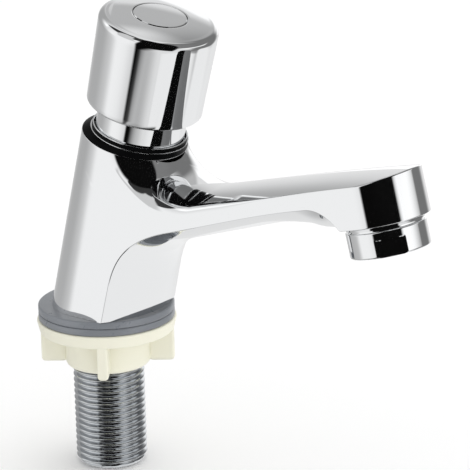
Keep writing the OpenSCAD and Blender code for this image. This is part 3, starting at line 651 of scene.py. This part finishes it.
class TAP_OT_collar(bpy.types.Operator):
    """Build the gland with its stepped collar as a turned surface"""

    bl_idname = "tap.collar"
    bl_label = "Gland collar"

    def execute(self, context):
        k, body = settings("knob"), settings("body")
        rim, radius, neck, bore = mm(body.rim_s), mm(k.collar_r), mm(k.neck_r), mm(k.collar_bore)
        flange, top = rim + mm(body.ring_t) + 0.1, rim + mm(k.collar_top)
        gland_r, gland_low, seat_r, seat, stem_r, well = 11.9, 47.0, 13.55, rim - 3.6, 4.06, rim - 2.5
        profile = np.concatenate([
            [[gland_r, gland_low], [gland_r, seat - 0.1], [seat_r, seat], [seat_r, rim]],
            [[neck, rim + 0.05], [neck, flange]],
            corner_arc((radius - 0.12, flange + 0.12), 0.12, -90, 90, 9),
            [[neck, flange + 0.24]],
            corner_arc((neck - 0.2, top - 0.2), 0.2, 0, 90, 7),
            [[neck - 0.3, top], [bore, top - 0.5]],
            [[bore, well], [stem_r, well], [stem_r, gland_low]],
        ])
        obj = turned("stepped_collar", "chrome", profile, knob_frame(), 200, 40)
        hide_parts("gland_collar")
        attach(obj, "tap")
        return {"FINISHED"}


class TAP_OT_rim(bpy.types.Operator):
    """Build the black rubber ring from the casting's outline to the collar's flange, and above it a thin
    black band round the collar's chrome neck, a painted dark reflection
    """

    bl_idname = "tap.rim"
    bl_label = "Rim ring"

    def execute(self, context):
        body, k = settings("body"), settings("knob")
        base, axis, ahead = knob_frame()
        out = spokes(ahead, ACROSS, 240)
        gap, bulge, rim, neck = 0.05, 0.5, mm(body.rim_s), mm(k.neck_r)
        low, high = rim + gap, rim + gap + mm(body.ring_t)
        foot = base + axis * low - ahead * mm(body.rim_back) + out * (mm(body.rim_r) - 0.08)
        top = base + axis * high + out * (mm(k.collar_r) - 0.15)
        u = np.linspace(0, 1, 9)[:, None, None]
        wall = foot + (top - foot) * u + axis * bulge * u * (1 - u)
        hole = base + out * (neck + gap)
        rings = np.stack([hole + axis * low, *wall, hole + axis * high, hole + axis * low])
        # The sleeve is a thin black band laid over the collar's chrome neck: a painted dark reflection, not
        # a real part
        painted_dark_low, painted_dark_top = mm(body.ring_t) + 0.36, mm(k.collar_top) - 0.2
        sleeve = [(neck - gap, painted_dark_low), (neck + 0.1, painted_dark_low + 0.02),
                  (neck + 0.04, painted_dark_top), (neck - gap, painted_dark_top)]
        patches = Patchwork()
        patches.add(rings, closed=True)
        patches.add(lathe(sleeve, base + axis * rim, axis, ahead, 200), closed=True)
        obj = patches.make("rim_band", material("black_rubber"), sharp=50)
        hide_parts("rim_ring")
        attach(obj, "tap")
        return {"FINISHED"}


class TAP_OT_spring(bpy.types.Operator):
    """Build the return spring as a fixed coil at rest; the real spring shortens as the knob is pressed"""

    bl_idname = "tap.spring"
    bl_label = "Return spring"

    def execute(self, context):
        k = settings("knob")
        base, axis, ahead = knob_frame()
        low, high = mm(k.spring_low_s), mm(k.spring_top_s)
        patches = Patchwork()
        wire = self.coil(base + axis * low, axis, ahead, high - low, mm(k.spring_r), mm(k.wire_r), k.turns)
        patches.add(wire, closed=True)
        obj = patches.make("coil_spring", material("steel"), sharp=60)
        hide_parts("return_spring")
        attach(obj, "tap")
        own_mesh(obj)
        return {"FINISHED"}

    @staticmethod
    def coil(foot, axis, across, tall, radius, wire, turns):
        """Round wire on a helix: P(t) + w (out cos b + axis sin b).

        P(t) = foot + axis (w + rise t) + r out(2 pi t), with t in turns. The first and last rings shrink
        to points, which close the wire's ends.
        """
        side = np.cross(axis, across)
        t = np.concatenate([[0], np.linspace(0, turns, turns * 48 + 1), [turns]])[:, None]
        b = np.linspace(0, 2 * np.pi, 14, endpoint=False)[None, :]
        thick = np.full(t.shape, wire)
        thick[[0, -1]] = 0.01
        out = np.cos(2 * np.pi * t) * across + np.sin(2 * np.pi * t) * side
        centre = foot + axis * (wire + (tall - 2 * wire) / turns * t) + radius * out
        outward, upward = (thick * np.cos(b))[..., None], (thick * np.sin(b))[..., None]
        return centre[:, None] + outward * out[:, None] + upward * axis


class TAP_OT_rings(bpy.types.Operator):
    """Build the two rubber rings with soft edges"""

    bl_idname = "tap.rings"
    bl_label = "Rubber rings"

    def execute(self, context):
        f = settings("fixing")
        radius, thick, bore = mm(f.ring_r), mm(f.ring_t), mm(f.thread_r) + 0.5
        edge, face = 0.45, radius - 2.0
        for name, node, body, low, high in (
            ("gasket_ring", "base_gasket", "tap", 0.0, thick),
            ("washer_ring", "deck_washer", "washer", -thick, -0.05),
        ):
            profile = np.concatenate([
                [[bore, low], [face, low]],
                corner_arc((radius - edge, low + edge), edge, -90, 0, 7),
                corner_arc((radius - edge, high - edge), edge, 0, 90, 7),
                [[face, high], [bore, high], [bore, low]],
            ])
            obj = turned(name, "grey_rubber", profile, UPRIGHT, 160, 50)
            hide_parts(node)
            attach(obj, body)
        return {"FINISHED"}


class TAP_OT_shank(bpy.types.Operator):
    """Build the shank with its pipe thread"""

    bl_idname = "tap.shank"
    bl_label = "Threaded shank"

    def execute(self, context):
        f = settings("fixing")
        radius, depth, pitch = mm(f.thread_r), mm(f.thread_depth), mm(f.pitch)
        low, high, bore = -mm(f.shank_low), mm(f.shank_top), mm(f.shank_bore)
        patches = Patchwork()
        patches.add(self.thread(radius, depth, pitch, low + 0.15, high), closed=True)
        core, bevel = radius - depth, 0.4
        ends = [[bore, high], [bore, low + bevel], [bore + bevel, low], [core - 0.35, low],
                [core - 0.1, low + 0.15]]
        patches.add(lathe(ends, *UPRIGHT, 96), closed=True)
        obj = patches.make("shank_thread", material("thread"), sharp=60)
        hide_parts("threaded_shank")
        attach(obj, "tap")
        return {"FINISHED"}

    @staticmethod
    def thread(radius, depth, pitch, low, high):
        """r = R - depth q(z / pitch - a / 2 pi), with q a rounded tooth; a cone cuts the lower end."""
        a = np.linspace(0, 2 * np.pi, 96, endpoint=False)[None, :]
        z = np.arange(low, high, pitch / 16)[:, None]
        phase = (z / pitch - a / (2 * np.pi)) % 1.0
        tooth = np.abs(phase - 0.5) * 2
        crest, flank, straight, cone = 0.16, 0.68, 0.6, 0.75
        q = np.clip((tooth - crest) / flank, 0, 1)
        q = q * straight + eased(q) * (1 - straight)
        r = np.minimum(radius - depth * q, radius - depth - 0.1 + (z - low) * cone)
        return np.stack([r * np.cos(a), r * np.sin(a), z + 0 * a], -1)


class TAP_OT_nut(bpy.types.Operator):
    """Build the back nut: tapered flange, round-edged hub and four wings"""

    bl_idname = "tap.nut"
    bl_label = "Back nut"

    def execute(self, context):
        f = settings("fixing")
        top = -mm(f.ring_t) - 0.05
        flange, thick, hub, tall = mm(f.flange_r), mm(f.flange_t), mm(f.hub_r), mm(f.nut_h)
        bore, wing = mm(f.thread_r) + 0.06, mm(f.wing_t)
        bevel, hub_edge, fillet, low_edge, top_edge = 0.6, 1.6, 0.9, 0.7, 0.5
        profile = np.concatenate([
            [[bore, -tall + bevel], [bore + bevel, -tall]],
            corner_arc((hub - hub_edge, -tall + hub_edge), hub_edge, -90, 0, 11),
            [[hub, -thick - fillet]],
            corner_arc((hub + fillet, -thick - fillet), fillet, 180, 90, 7)[1:],
            corner_arc((flange - 2 * low_edge, -thick + low_edge), low_edge, -90, -10, 7),
            corner_arc((flange - top_edge, -top_edge), top_edge, -6, 90, 7),
            [[bore, 0.0], [bore, -tall + bevel]],
        ])
        patches = Patchwork()
        patches.add(lathe(profile, (0, 0, top), (0, 0, 1), (1, 0, 0), 160), closed=True)
        for quarter in range(4):
            turn = f.wing_turn + quarter * math.pi / 2
            bar = self.wing(turn, hub - 0.5, flange - 0.9, wing / 2, thick - 0.6, tall - 0.6, top)
            patches.add(bar, closed=True)
        obj = patches.make("winged_nut", material("cream"), sharp=50)
        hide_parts("back_nut")
        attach(obj, "nut")
        return {"FINISHED"}

    @staticmethod
    def wing(turn, inner, outer, half, high, low, top):
        """A bar from hub to flange with a superellipse as its section, which shrinks at the lower end."""
        mid, long = (inner + outer) / 2, (outer - inner) / 2
        squareness, bevel = 0.28, 1.3
        a = np.linspace(0, 2 * np.pi, 72, endpoint=False)
        ring = np.stack([np.cos(a), np.sin(a)], -1)
        shape = np.sign(ring) * np.abs(ring) ** squareness
        bend = np.linspace(0, np.pi / 2, 9)
        depth = np.concatenate([[high], low - bevel + bevel * np.sin(bend), [low]])
        inset = np.concatenate([[0], bevel * (1 - np.cos(bend)), [half - 0.02]])
        x = mid + np.maximum(long - inset, 0.02)[:, None] * shape[None, :, 0]
        y = np.maximum(half - inset, 0.02)[:, None] * shape[None, :, 1]
        c, s = math.cos(turn), math.sin(turn)
        z = top - depth[:, None] + 0 * x
        return np.stack([x * c - y * s, x * s + y * c, z], -1)[:, ::-1]


class TAP_OT_aerator(bpy.types.Operator):
    """Build the aerator housing with its groove and two spanner flats"""

    bl_idname = "tap.aerator"
    bl_label = "Aerator housing"

    def execute(self, context):
        o = settings("outlet")
        base, axis, ahead = outlet_frame()
        radius, tall, bore, neck = mm(o.radius), mm(o.height), mm(o.bore), mm(o.groove_r)
        edge, lip, stem_r, ledge = 0.5, 0.3, 9.8, 0.9
        profile = np.concatenate([
            [[bore + ledge, 6.0], [bore + ledge, ledge], [bore, ledge], [bore, lip], [bore + lip, 0.0]],
            corner_arc((radius - edge, edge), edge, -90, 0, 7),
            np.stack([np.full(28, radius), np.linspace(0.6, tall - 0.4, 28)], -1),
            corner_arc((radius - lip, tall - lip), lip, 0, 90, 5),
            [[neck, tall], [neck, tall + 0.5], [radius - 0.25, tall + 0.55], [radius - 0.2, tall + 1.1]],
            [[neck, tall + 1.15], [neck, tall + 1.5], [stem_r, tall + 1.55], [stem_r, tall + 6.5]],
        ])
        grid = lathe(profile, base, axis, ahead, 240)
        turn = np.linspace(0, 2 * np.pi, 240, endpoint=False)[None, :]
        facing = np.maximum(np.abs(np.cos(turn - o.flat_turn)), 1e-3)
        r, height = profile[:, :1], profile[:, 1:]
        limit = np.where(height < mm(o.flat_h), mm(o.flat) / facing, 1e3)
        centre = base + height[..., None] * axis
        grid = centre + (grid - centre) * (np.minimum(r, limit) / r)[..., None]
        patches = Patchwork()
        patches.add(grid, closed=True)
        obj = patches.make("aerator_shell", material("chrome"), sharp=25)
        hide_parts("aerator_housing")
        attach(obj, "tap")
        return {"FINISHED"}


# Materials


def add_node(tree, kind, location, **inputs):
    """A shader node with its inputs set by name, or by number as i0, i1 and so on.

    A value that is a socket is linked, and a key that starts with an underscore is an attribute.
    """
    node = tree.nodes.new(kind)
    node.location = location
    for key, value in inputs.items():
        if key.startswith("_"):
            setattr(node, key[1:], value)
            continue
        numbered = key[0] == "i" and key[1:].isdigit()
        socket = node.inputs[int(key[1:]) if numbered else key.replace("_", " ")]
        if isinstance(value, bpy.types.NodeSocket):
            tree.links.new(value, socket)
        else:
            socket.default_value = value
    return node


# Name of the material, metal, roughness, variation of that, height of its relief in metres, and gloss
FINISHES = {
    "chrome": ("Polished chrome", 1.0, 0.035, 0.0, 0.0, 0.5),
    "thread": ("Chromed thread", 1.0, 0.06, 0.0, 0.0, 0.5),
    "grey_rubber": ("Grey rubber", 0.0, 0.3, 0.08, 0.00004, 0.8),
    "cream": ("Cream plastic", 0.0, 0.38, 0.05, 0.00002, 0.5),
    "brass": ("Brass", 1.0, 0.22, 0.08, 0.0, 0.5),
    "steel": ("Stainless steel", 1.0, 0.2, 0.08, 0.0, 0.5),
    "black_rubber": ("Black rubber", 0.0, 0.3, 0.05, 0.0, 0.03),
    "white_plastic": ("White plastic", 0.0, 0.4, 0.04, 0.0, 0.5),
    "fibre": ("Red fibre", 0.0, 0.8, 0.1, 0.0, 0.5),
}

# Finish of each material slot that has another name
SLOTS = {"chrome_plate": "chrome", "cream_plastic": "cream", "red_fibre": "fibre"}


def material(key):
    """The procedural material of that finish, whose roughness varies a little with fine noise."""
    name, metal, rough, vary, bump, gloss = FINISHES[key]
    made = bpy.data.materials.get(name)
    if made:
        return made
    made = bpy.data.materials.new(name)
    made.use_nodes = True
    tree = made.node_tree
    tree.nodes.clear()
    base = (*getattr(settings("finish"), key), 1.0)
    place = add_node(tree, "ShaderNodeTexCoord", (-900, 0))
    noise = add_node(tree, "ShaderNodeTexNoise", (-700, 0), Vector=place.outputs["Object"],
                     Scale=420.0, Detail=3.0)
    spread = add_node(tree, "ShaderNodeMapRange", (-480, 0), Value=noise.outputs["Fac"],
                      To_Min=max(rough - vary, 0.0), To_Max=rough + vary)
    shade = add_node(tree, "ShaderNodeBsdfPrincipled", (-200, 0), Base_Color=base, Metallic=metal,
                     Roughness=spread.outputs["Result"], Specular_IOR_Level=gloss)
    if bump:
        relief = add_node(tree, "ShaderNodeBump", (-450, -250), Strength=0.3, Distance=bump,
                          Height=noise.outputs["Fac"])
        tree.links.new(relief.outputs["Normal"], shade.inputs["Normal"])
    out = add_node(tree, "ShaderNodeOutputMaterial", (100, 0))
    tree.links.new(shade.outputs["BSDF"], out.inputs["Surface"])
    return made


class TAP_OT_carried(bpy.types.Operator):
    """Give the CAD pieces that are shown as they are their materials"""

    bl_idname = "tap.carried"
    bl_label = "Pieces carried over"

    def execute(self, context):
        slots = {part["node"]: part["material_slot"] for part in FRAME["record"]["subparts"]}
        for name, obj in FRAME["nodes"].items():
            obj.data.materials.clear()
            obj.data.materials.append(material(SLOTS.get(slots[name], slots[name])))
            obj.data.polygons.foreach_set("use_smooth", np.ones(len(obj.data.polygons), dtype=bool))
            obj.data.set_sharp_from_angle(angle=math.radians(30))
        return {"FINISHED"}


# Cards round the object: left, right, low and high edge in degrees, from the camera to its right and up,
# lean, softness of the edges in degrees, and brightness. A later card covers an earlier one.
CARDS = {
    "white screen on the left": (-108, -39, -40, 50, 0.525, 16, 0.97),
    "dark ceiling in front": (-113, 14, 44, 86, -0.15, 1.5, 0.04),
    "grey panel high on the left": (-72, -31, 18, 74, -0.15, 4, 0.65),
    "bright strip behind, left": (-140, -108, 21, 40, 0, 5, 1.25),
    "grey wall behind, left": (-166, -110, -56, 60, -0.5, 19, 0.4),
    "grey strip behind, right": (142, 200, 27, 47, -0.15, 3, 0.5),
    "pale wall behind": (-200, -173, 6, 58, -0.3, 13, 0.8),
    "bright strip behind, right": (144, 196, -9, 24, -1.2, 1.5, 1.12),
    "pale wall behind, low": (-200, -179, -22, 12, 0.1, 16, 0.84),
    "dark wall on the right, high": (36, 134, 9, 72, -0.3, 4, 0.21),
    "dark wall on the right": (71, 143, -41, 57, 0.35, 12, 0.19),
    "bright strip on the right": (40, 98, 2, 9, 0.95, 4, 1.16),
    "white table": (17, 194, -100, -38, 0.3, 1.5, 0.92),
    "white table, farther back": (92, 178, -100, -26, 0, 4, 0.92),
    "white table, back edge": (134, 200, -64, -24, 0, 12, 0.92),
    "grey strip behind, low": (-167, -92, -27, -12, 0, 11, 0.52),
    "grey panel low on the left": (-93, -10, -78, -30, 0, 13, 0.36),
    "dark strip under the camera": (-9, 1, -72, -27, 1.3, 4, 0.1),
    "dark cloth under the camera": (-38, 39, -90, -44, 0.35, 3, 0.02),
    "black cloth round the camera": (-38, 39, -30, 84, 0.35, 3, 0.003),
}


class TAP_OT_stage(bpy.types.Operator):
    """Set up camera, floor and studio light"""

    bl_idname = "tap.stage"
    bl_label = "Stage"

    def execute(self, context):
        self.camera(context.scene)
        self.floor(context.scene)
        self.light(context.scene)
        context.scene.view_settings.view_transform = "Standard"
        return {"FINISHED"}

    def camera(self, scene):
        """Camera at distance D along the view, shifted so that the origin keeps its place in the picture."""
        s = settings("stage")
        turn, tip, roll = s.azimuth, s.elevation, s.roll
        right = np.array([math.cos(turn), math.sin(turn), 0])
        toward = np.array([math.sin(turn), -math.cos(turn), 0])
        back = toward * math.cos(tip) + np.array([0, 0, math.sin(tip)])
        up = -toward * math.sin(tip) + np.array([0, 0, math.cos(tip)])
        place = -s.offset_x * right - s.offset_y * up + s.distance * back
        place = place - np.array([0, 0, settings("axes").drop])
        across = math.cos(roll) * right - math.sin(roll) * up
        upward = math.sin(roll) * right + math.cos(roll) * up
        data = bpy.data.cameras.new("Camera")
        data.lens, data.sensor_width = s.lens, 36.0
        data.clip_start, data.clip_end = 0.05, 20.0
        obj = bpy.data.objects.new("Camera", data)
        scene.collection.objects.link(obj)
        obj.matrix_world = Matrix((
            (across[0], upward[0], back[0], place[0]),
            (across[1], upward[1], back[1], place[1]),
            (across[2], upward[2], back[2], place[2]),
            (0, 0, 0, 1),
        ))
        scene.camera = obj

    def floor(self, scene):
        """A wide pale floor under the shank."""
        s = settings("stage")
        ends = np.array([-1.5, 1.5])
        x, y = np.meshgrid(ends, ends, indexing="ij")
        grid = np.stack([x, y, np.full((2, 2), s.floor)], -1) / MM
        patches = Patchwork()
        patches.add(grid)
        made = bpy.data.materials.new("Pale floor")
        made.use_nodes = True
        tree = made.node_tree
        tree.nodes["Principled BSDF"].inputs["Base Color"].default_value = (0.99, 0.99, 0.99, 1)
        tree.nodes["Principled BSDF"].inputs["Roughness"].default_value = 0.9
        obj = patches.make("floor", made, weld=False)
        obj.visible_glossy = False

    def light(self, scene):
        """A white room with cards for reflections, soft light for matt pieces, and the camera's backdrop."""
        s = settings("stage")
        scene.world = bpy.data.worlds.new("Studio")
        scene.world.use_nodes = True
        tree = scene.world.node_tree
        tree.nodes.clear()

        def calc(operation, location, *values):
            """Output of a math node on the values."""
            inputs = {f"i{k}": value for k, value in enumerate(values)}
            return add_node(tree, "ShaderNodeMath", location, _operation=operation, **inputs).outputs[0]

        way = add_node(tree, "ShaderNodeTexCoord", (-1600, 0))
        parts = add_node(tree, "ShaderNodeSeparateXYZ", (-1400, 0), Vector=way.outputs["Generated"])
        x, y, z = (parts.outputs[k] for k in "XYZ")
        # Angle round the object from the camera, to its right, and height over the horizon, in degrees
        round_it = calc("ARCTAN2", (-1200, 100), y, x)
        from_camera = calc("SUBTRACT", (-1000, 100), round_it, s.azimuth - math.pi / 2)
        azimuth = calc("DEGREES", (-800, 100), calc("WRAP", (-900, 100), from_camera, math.pi, -math.pi))
        elevation = calc("DEGREES", (-1000, -100), calc("ARCSINE", (-1200, -100), z))
        shown = s.room
        for row, (left, right, low, high, lean, soft, value) in enumerate(CARDS.values()):
            level = -200 * row
            slid = calc("MULTIPLY_ADD", (-600, level), elevation, -lean, azimuth)
            mask = 1.0
            for where, edge, width in (
                (slid, left, soft), (slid, right, -soft), (elevation, low, soft), (elevation, high, -soft)
            ):
                step = add_node(tree, "ShaderNodeMapRange", (-400, level), _interpolation_type="SMOOTHSTEP",
                                Value=where, From_Min=edge - width, From_Max=edge + width)
                mask = calc("MULTIPLY", (0, level), mask, step.outputs[0])
            card = add_node(tree, "ShaderNodeMix", (200, level), _data_type="FLOAT",
                            Factor=mask, A=shown, B=value)
            shown = card.outputs[0]
        path = add_node(tree, "ShaderNodeLightPath", (400, 300))
        studio = add_node(tree, "ShaderNodeBackground", (600, 0), Color=shown, Strength=1.0)
        # Soft light, stronger from the camera's right: 1 + share (direction . right)
        along_x = calc("MULTIPLY_ADD", (200, 300), x, s.side_light * math.cos(s.azimuth), 1.0)
        sideways = calc("MULTIPLY_ADD", (400, 500), y, s.side_light * math.sin(s.azimuth), along_x)
        soft_light = add_node(tree, "ShaderNodeBackground", (600, 200), Color=sideways,
                              Strength=s.soft_light)
        plain = add_node(tree, "ShaderNodeBackground", (600, 400), Color=(*s.backdrop, 1), Strength=1.0)
        lit = add_node(tree, "ShaderNodeMixShader", (800, 100), Fac=path.outputs["Is Glossy Ray"],
                       i1=soft_light.outputs[0], i2=studio.outputs[0])
        pick = add_node(tree, "ShaderNodeMixShader", (900, 200), Fac=path.outputs["Is Camera Ray"],
                        i1=lit.outputs[0], i2=plain.outputs[0])
        out = add_node(tree, "ShaderNodeOutputWorld", (1000, 100))
        tree.links.new(pick.outputs[0], out.inputs["Surface"])


class TAP_PT_panel(bpy.types.Panel):
    """Sizes and colours of the tap"""

    bl_idname = "TAP_PT_panel"
    bl_label = "Push timed tap"
    bl_space_type = "VIEW_3D"
    bl_region_type = "UI"
    bl_category = "Tap"

    def draw(self, context):
        for name in GROUPS:
            box = self.layout.box()
            box.label(text=name.capitalize())
            group = settings(name)
            for key in group.__annotations__:
                box.prop(group, key)
        for operator in OPERATORS:
            self.layout.operator(operator.bl_idname)


GROUPS = {
    "axes": TapAxes,
    "body": TapBody,
    "knob": TapKnob,
    "fixing": TapFixing,
    "outlet": TapOutlet,
    "finish": TapFinish,
    "stage": TapStage,
}

OPERATORS = (
    TAP_OT_carried, TAP_OT_body, TAP_OT_rim, TAP_OT_knob, TAP_OT_collar, TAP_OT_spring,
    TAP_OT_rings, TAP_OT_shank, TAP_OT_nut, TAP_OT_aerator, TAP_OT_stage,
)


def register():
    for group in GROUPS.values():
        bpy.utils.register_class(group)
    for name, group in GROUPS.items():
        setattr(bpy.types.Scene, "tap_" + name, PointerProperty(type=group))
    for operator in OPERATORS:
        bpy.utils.register_class(operator)
    bpy.utils.register_class(TAP_PT_panel)


def unregister():
    bpy.utils.unregister_class(TAP_PT_panel)
    for operator in reversed(OPERATORS):
        bpy.utils.unregister_class(operator)
    for name, group in GROUPS.items():
        delattr(bpy.types.Scene, "tap_" + name)
        bpy.utils.unregister_class(group)


def main():
    """Register the classes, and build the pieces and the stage."""
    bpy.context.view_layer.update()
    register()
    bpy.ops.tap.carried()
    bpy.ops.tap.body()
    bpy.ops.tap.rim()
    bpy.ops.tap.knob()
    bpy.ops.tap.collar()
    bpy.ops.tap.spring()
    bpy.ops.tap.rings()
    bpy.ops.tap.shank()
    bpy.ops.tap.nut()
    bpy.ops.tap.aerator()
    bpy.ops.tap.stage()
    bpy.context.view_layer.update()


if __name__ == "__main__":
    main()
